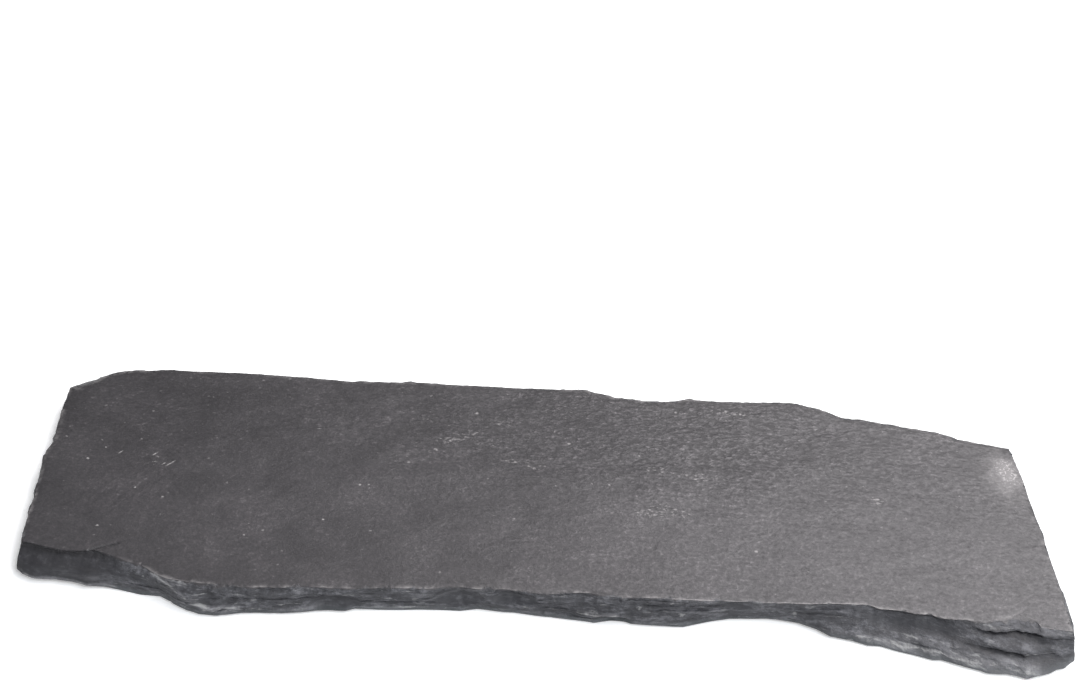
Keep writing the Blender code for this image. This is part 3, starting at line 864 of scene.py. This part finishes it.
def fromMiddle(slate, place, patchShape):
    # 0 in the middle of a turned oval on the face and 1 on its rim
    middle, halves, turn = patchShape
    local = addNode(slate, "Mapping", {
        "vector_type": "TEXTURE", "Vector": place, "Location": (*middle, slab["thickness"]),
        "Rotation": (0.0, 0.0, math.radians(turn)), "Scale": (*halves, 5.0),
    })
    return addNode(slate, "VectorMath", {"operation": "LENGTH", 0: local}, "Value")


def addPatterns(slate):
    # the mesh's own values and every pattern that lies on places in mm, by name
    place = addNode(slate, "TexCoord", {}, "Object")
    place = addNode(slate, "Mapping", {"Vector": place, "Scale": (1.0 / millimetre,) * 3})
    x, y, z = addNode(slate, "SeparateXYZ", {"Vector": place}).node.outputs
    past = addNode(slate, "Math", {"operation": "SUBTRACT", 0: x, 1: front["folds"]["begin"]})
    past = addNode(slate, "Math", {"operation": "MAXIMUM", 0: past, 1: 0.0})
    leaning = addNode(slate, "Math", {"operation": "MULTIPLY_ADD", 0: past, 1: front["folds"]["lean"], 2: z})
    leaning = addNode(slate, "CombineXYZ", {"X": x, "Y": y, "Z": leaning})
    patterns = {"place": place, "Y": y, "Z": z}
    for name in lookNames:
        patterns[name] = addNode(slate, "Attribute", {"attribute_name": name}, "Fac")
    for under, noises in ((place, slateLook["noises"]), (leaning, slateLook["edgeNoises"])):
        for name, (finer, turn, size, detail, roughness, distortion) in noises.items():
            local = addNode(slate, "Mapping", {
                "vector_type": "TEXTURE", "Vector": under, "Rotation": (0.0, 0.0, math.radians(turn)),
                "Scale": [1.0 / times for times in finer],
            })
            patterns[name] = addNode(slate, "TexNoise", {
                "Vector": local, "Scale": 1.0 / size, "Detail": detail, "Roughness": roughness,
                "Distortion": distortion,
            })
    lively = 1.0
    for axis, begin, end, low, high in slateLook["lively"]:
        change = addNode(slate, "MapRange", {
            **softly, "Value": {"X": x, "Y": y}[axis], "From Min": begin, "From Max": end,
            "To Min": low, "To Max": high,
        })
        lively = addNode(slate, "Math", {"operation": "MULTIPLY", 0: change, 1: lively})
    patterns["lively"] = lively
    stray = addNode(slate, "TexNoise", {"Vector": place, "Scale": 0.9, "Detail": 3.0}, "Color")
    width = slateLook["strayWidth"]
    stray = addNode(slate, "VectorMath", {
        "operation": "MULTIPLY_ADD", 0: stray, 1: (width, width, 0.0), 2: place,
    })
    patterns["strayed"] = stray
    return patterns


def addGrain(slate, patterns):
    # the leathery grain of the split face, drawn out along the slab towards the rear
    _, begin, end, low, high = slateLook["drawnOut"]
    pull = addNode(slate, "MapRange", {
        **softly, "Value": patterns["Y"], "From Min": begin, "From Max": end, "To Min": low, "To Max": high,
    })
    leather = addNode(slate, "Mix", {0: pull, 2: patterns["grain"], 3: patterns["streaks"]})
    cells = addNode(slate, "Mapping", {"Vector": patterns["strayed"], "Scale": (0.6, 1.0, 1.0)})
    cells = addNode(slate, "TexVoronoi", {"Vector": cells, "Scale": 1.0 / slateLook["pebbleSize"]})
    cells = addNode(slate, "Math", {"operation": "SUBTRACT", 0: 0.5, 1: cells})
    gain = addNode(slate, "Math", {
        "operation": "MULTIPLY", 0: patterns["lively"], 1: slateLook["pebbleTone"],
    })
    return addNode(slate, "Math", {"operation": "MULTIPLY_ADD", 0: cells, 1: gain, 2: leather})


def addFaceTone(slate, patterns, leather):
    # the light and dark of the grain, and the same with the slow changes over the whole face, and painted
    # shade towards the rear
    tone = varied(slate, leather, patterns["dust"], slateLook["dustTone"])
    rim = fromMiddle(slate, patterns["place"], slateLook["brushed"])
    gain = addNode(slate, "MapRange", {
        **softly, "Value": rim, "From Min": 0.2, "From Max": 1.1, "To Min": slateLook["brushTone"],
        "To Max": 0.0,
    })
    tone = varied(slate, tone, patterns["brushing"], gain)
    calm, added = slateLook["contrast"]
    lively = patterns["lively"]
    contrast = addNode(slate, "Math", {"operation": "MULTIPLY_ADD", 0: lively, 1: added, 2: calm})
    sheen = varied(slate, 0.5, tone, contrast)
    tone = varied(slate, sheen, patterns["mottle"], slateLook["mottleTone"])
    _, begin, end, _, _ = slateLook["drawnOut"]
    rearwards = addNode(slate, "MapRange", {
        **softly, "Value": patterns["Y"], "From Min": begin, "From Max": end,
    })
    squared = addNode(slate, "Math", {"operation": "MULTIPLY", 0: lively, 1: lively})
    # the first darkens the face towards the rear as painted shade, the second where the grain is lively
    for change, amount in ((rearwards, slateLook["rearShadeTone"]), (squared, slateLook["livelyTone"])):
        tone = addNode(slate, "Math", {"operation": "MULTIPLY_ADD", 0: change, 1: amount, 2: tone})
    return sheen, tone


def addMarks(slate, patterns):
    # how pale each place is from specks, dashes and scratches
    place, dust = patterns["place"], patterns["dust"]
    spacing = slateLook["speckSpacing"]
    cells = addNode(slate, "TexVoronoi", {
        "voronoi_dimensions": "2D", "Vector": place, "Scale": 1.0 / spacing,
    })
    chance = addNode(slate, "SeparateColor", {"Color": cells.node.outputs["Color"]})
    chance = addNode(slate, "MapRange", {
        **softly, "Value": chance, "From Min": 0.78, "From Max": 1.12, "To Max": slateLook["speckShare"],
    })
    radius = slateLook["speckRadius"] / spacing
    specks = addNode(slate, "MapRange", {
        **fading, "Value": varied(slate, cells, dust, 0.25), "From Min": 0.3 * radius, "From Max": radius,
    })
    marks = addNode(slate, "Math", {"operation": "MULTIPLY", 0: specks, 1: chance})
    for (x, y), radius in slateLook["specks"]:
        gap = addNode(slate, "VectorMath", {
            "operation": "DISTANCE", 0: place, 1: (x, y, slab["thickness"]),
        }, "Value")
        speck = addNode(slate, "MapRange", {
            **fading, "Value": varied(slate, gap, dust, 0.8), "From Min": 0.3 * radius,
            "From Max": 1.3 * radius,
        })
        marks = addNode(slate, "Math", {"operation": "MAXIMUM", 0: marks, 1: speck})
    clusters = addNode(slate, "Math", {
        "operation": "MULTIPLY", 0: patterns["lively"], 1: slateLook["looseDashes"],
    })
    for cluster in slateLook["clusters"]:
        near = addNode(slate, "MapRange", {
            **fading, "Value": fromMiddle(slate, place, cluster), "From Min": 0.3, "From Max": 1.3,
        })
        clusters = addNode(slate, "Math", {"operation": "MAXIMUM", 0: clusters, 1: near})
    dashes = addNode(slate, "Math", {
        "operation": "MULTIPLY_ADD", 0: clusters, 1: slateLook["clusterGain"], 2: patterns["dashes"],
    })
    dashes = addNode(slate, "MapRange", {**softly, "Value": dashes, "From Min": 0.67, "From Max": 0.94})
    marks = addNode(slate, "Math", {"operation": "MAXIMUM", 0: marks, 1: dashes})
    marks = addNode(slate, "Math", {"operation": "MULTIPLY", 0: marks, 1: slateLook["markShare"]})
    grit = addNode(slate, "MapRange", {
        **softly, "Value": dust, "From Min": 0.30, "From Max": 0.60, "To Max": slateLook["scratchShare"],
    })
    for start, end in slateLook["scratches"]:
        middle = [(a + b) / 2 for a, b in zip(start, end)]
        angle = math.degrees(math.atan2(end[1] - start[1], end[0] - start[0]))
        halves = (math.dist(start, end) / 2, slateLook["scratchWidth"])
        rim = fromMiddle(slate, place, (middle, halves, angle))
        scratch = addNode(slate, "MapRange", {**fading, "Value": rim, "From Min": 0.3, "From Max": 1.0})
        scratch = addNode(slate, "Math", {"operation": "MULTIPLY", 0: scratch, 1: grit})
        marks = addNode(slate, "Math", {"operation": "MAXIMUM", 0: marks, 1: scratch})
    return marks


def addScuff(slate, patterns):
    # the rubbed patch: dusty all over, with a net of crushed points
    rim = varied(slate, fromMiddle(slate, patterns["place"], slateLook["scuff"]), patterns["rubbing"], 1.2)
    rubbed = addNode(slate, "MapRange", {**fading, "Value": rim, "From Min": 0.15, "From Max": 1.35})
    net = addNode(slate, "TexVoronoi", {
        "feature": "DISTANCE_TO_EDGE", "Vector": patterns["strayed"], "Scale": 1.0 / slateLook["scuffCells"],
    }, "Distance")
    net = addNode(slate, "MapRange", {**fading, "Value": net, "From Min": 0.02, "From Max": 0.15})
    grit = addNode(slate, "MapRange", {
        **softly, "Value": patterns["dust"], "From Min": 0.44, "From Max": 0.60,
    })
    net = addNode(slate, "Math", {"operation": "MULTIPLY", 0: net, 1: grit})
    rim = fromMiddle(slate, patterns["place"], slateLook["scuffCore"])
    gains = []
    for outside, inside in (slateLook["scuffNet"], slateLook["scuffGlow"]):
        gains.append(addNode(slate, "MapRange", {
            **softly, "Value": rim, "From Min": 0.4, "From Max": 1.3, "To Min": inside, "To Max": outside,
        }))
    pale = addNode(slate, "Math", {"operation": "MULTIPLY_ADD", 0: net, 1: gains[0], 2: gains[1]})
    return addNode(slate, "Math", {"operation": "MULTIPLY", 0: rubbed, 1: pale})


def addEdgeColour(slate, patterns, tone):
    # thin sheets seen end on, cooler than the face, with smooth scars darkened partly by painted shade, and a
    # foot lightened by a painted reflection of the pale floor
    colour = addTones(slate, tone, ("edgeDark", "edge", "edgePale"), slateLook["edgeStops"])
    dark, pale = slateLook["scarShare"]
    share = addNode(slate, "MapRange", {
        **softly, "Value": tone, "From Min": 0.42, "From Max": 0.66, "To Min": dark, "To Max": pale,
    })
    # scars darker, partly with painted shade in their hollows
    colour = painted(slate, colour, "scar", patterns["scar"], share)
    smeared = addNode(slate, "MapRange", {
        **softly, "Value": patterns["sheets"], "From Min": 0.34, "From Max": 0.60,
        "To Max": slateLook["crushedShare"],
    })
    colour = painted(slate, colour, "edgeCrushed", patterns["crushed"], smeared)
    # painted reflection of the pale floor, on the lowest mm of the edge
    low = addNode(slate, "MapRange", {**fading, "Value": patterns["Z"], "From Min": 0.5, "From Max": 1.7})
    return painted(slate, colour, "footFloorReflection", low, slateLook["footReflectionShare"])


def addFlecks(slate, patterns):
    # crushed flecks on the lips of the sheets, and single pale chips
    spacing = slateLook["paleChipSpacing"]
    turned = addNode(slate, "Mapping", {
        "vector_type": "TEXTURE", "Vector": patterns["place"], "Rotation": (0.0, 0.0, math.radians(-25.0)),
        "Scale": (1.0, 1.0, 1.0 / 1.5),
    })
    cells = addNode(slate, "TexVoronoi", {"Vector": turned, "Scale": 1.0 / spacing})
    chance = addNode(slate, "SeparateColor", {"Color": cells.node.outputs["Color"]})
    chance = addNode(slate, "MapRange", {
        **softly, "Value": chance, "From Min": 0.45, "From Max": 0.88, "To Max": slateLook["paleChipShare"],
    })
    radius = slateLook["paleChipRadius"] / spacing
    paleChips = addNode(slate, "MapRange", {
        **fading, "Value": varied(slate, cells, patterns["chips"], 0.85), "From Min": 0.4 * radius,
        "From Max": radius,
    })
    paleChips = addNode(slate, "Math", {"operation": "MULTIPLY", 0: paleChips, 1: chance})
    flecks = patterns["flecks"]
    for name, gain in (("worn", 0.10), ("crushed", 0.16)):
        flecks = addNode(slate, "Math", {"operation": "MULTIPLY_ADD", 0: patterns[name], 1: gain, 2: flecks})
    flecks = addNode(slate, "MapRange", {**softly, "Value": flecks, "From Min": 0.60, "From Max": 0.84})
    flecks = addNode(slate, "Math", {"operation": "MAXIMUM", 0: flecks, 1: paleChips})
    rough = addNode(slate, "Math", {"operation": "MULTIPLY_ADD", 0: patterns["scar"], 1: -0.8, 2: 1.0})
    return addNode(slate, "Math", {"operation": "MULTIPLY", 0: flecks, 1: rough})


def addEdgeShare(slate, patterns):
    # 1 on the broken edge and 0 on the face, with small bites out of the crest between them
    bitten = varied(slate, patterns["broken"], patterns["bites"], 1.6)
    fades = [
        addNode(slate, "MapRange", {**softly, "Value": value, "From Min": begin, "From Max": end})
        for value, begin, end in (
            (bitten, 0.34, 0.56), (patterns["broken"], 0.05, 0.20), (patterns["broken"], 0.60, 0.90),
        )
    ]
    share = addNode(slate, "Math", {"operation": "MULTIPLY", 0: fades[0], 1: fades[1]})
    return addNode(slate, "Math", {"operation": "MAXIMUM", 0: share, 1: fades[2]})


def makeSlate():
    slate = bpy.data.materials.new("rivenSlate")
    slate.use_nodes = True
    shader = slate.node_tree.nodes["Principled BSDF"]
    patterns = addPatterns(slate)
    leather = addGrain(slate, patterns)
    sheen, faceTone = addFaceTone(slate, patterns, leather)
    edgeTone = addNode(slate, "Mix", {0: slateLook["chipShare"], 2: patterns["sheets"], 3: patterns["chips"]})
    edgeTone = varied(slate, edgeTone, patterns["blotches"], slateLook["blotchTone"])
    isEdge = addEdgeShare(slate, patterns)
    isFace = addNode(slate, "Math", {"operation": "SUBTRACT", 0: 1.0, 1: isEdge})

    names = ("faceDark", "face", "faceWarm", "facePale")
    faceColour = addTones(slate, faceTone, names, slateLook["faceStops"])
    edgeColour = addEdgeColour(slate, patterns, edgeTone)
    colour = addNode(slate, "Mix", {"data_type": "RGBA", 0: isEdge, 6: faceColour, 7: edgeColour}, 2)
    rubbed = addNode(slate, "Math", {
        "operation": "MULTIPLY_ADD", 0: patterns["crushed"], 1: 0.3, 2: patterns["crestRubbing"],
    })
    rubbed = addNode(slate, "MapRange", {
        **softly, "Value": rubbed, "From Min": 0.42, "From Max": 0.70, "To Max": slateLook["crestShare"],
    })
    rubbed = addNode(slate, "Math", {"operation": "MULTIPLY", 0: rubbed, 1: patterns["worn"]})
    colour = painted(slate, colour, "crushed", rubbed, isFace)
    pale = addNode(slate, "Math", {
        "operation": "MAXIMUM", 0: addMarks(slate, patterns), 1: addScuff(slate, patterns),
    })
    pale = addNode(slate, "Math", {"operation": "MULTIPLY", 0: pale, 1: isFace})
    colour = painted(slate, colour, "crushed", pale)
    flecks = addNode(slate, "Math", {"operation": "MULTIPLY", 0: addFlecks(slate, patterns), 1: isEdge})
    colour = painted(slate, colour, "fleck", flecks, slateLook["fleckShare"])
    # painted shade in the crack, in open partings and on the low front left ledge
    colour = painted(slate, colour, "shadedCrack", patterns["shadedCrack"], 0.95)
    slate.node_tree.links.new(colour, shader.inputs["Base Color"])

    silky, matt = slateLook["roughness"]
    face = addNode(slate, "MapRange", {
        "Value": sheen, "From Min": 0.34, "From Max": 0.66, "To Min": matt, "To Max": silky,
    })
    silky, matt = slateLook["edgeRoughness"]
    edge = addNode(slate, "MapRange", {
        "Value": patterns["chips"], "From Min": 0.3, "From Max": 0.7, "To Min": silky, "To Max": matt,
    })
    roughness = addNode(slate, "Mix", {0: isEdge, 2: face, 3: edge})
    roughness = addNode(slate, "Math", {
        "operation": "MULTIPLY_ADD", 0: pale, 1: slateLook["paleRoughness"], 2: roughness,
    })
    slate.node_tree.links.new(roughness, shader.inputs["Roughness"])
    shader.inputs["IOR"].default_value = slateLook["ior"]

    calm, lively = slateLook["grainHeight"]
    gain = addNode(slate, "MapRange", {"Value": patterns["lively"], "To Min": calm, "To Max": lively})
    face = addNode(slate, "Math", {
        "operation": "MULTIPLY", 0: patterns["ripple"], 1: slateLook["rippleHeight"],
    })
    for pattern, amount in ((leather, gain), (patterns["dust"], slateLook["dustHeight"])):
        face = addNode(slate, "Math", {"operation": "MULTIPLY_ADD", 0: pattern, 1: amount, 2: face})
    rough = addNode(slate, "Math", {"operation": "MULTIPLY_ADD", 0: patterns["scar"], 1: -0.55, 2: 1.0})
    edge = addNode(slate, "Math", {"operation": "MULTIPLY", 0: edgeTone, 1: slateLook["edgeHeight"]})
    edge = addNode(slate, "Math", {"operation": "MULTIPLY", 0: edge, 1: rough})
    height = addNode(slate, "Mix", {0: isEdge, 2: face, 3: edge})
    bump = addNode(slate, "Bump", {"Strength": 1.0, "Distance": millimetre, "Height": height})
    slate.node_tree.links.new(bump, shader.inputs["Normal"])
    return slate


print("slab")
piece = addSlab()
print("slate")
piece.data.materials.append(makeSlate())
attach(piece, "root")
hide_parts("slate_slab")

bpy.context.view_layer.update()
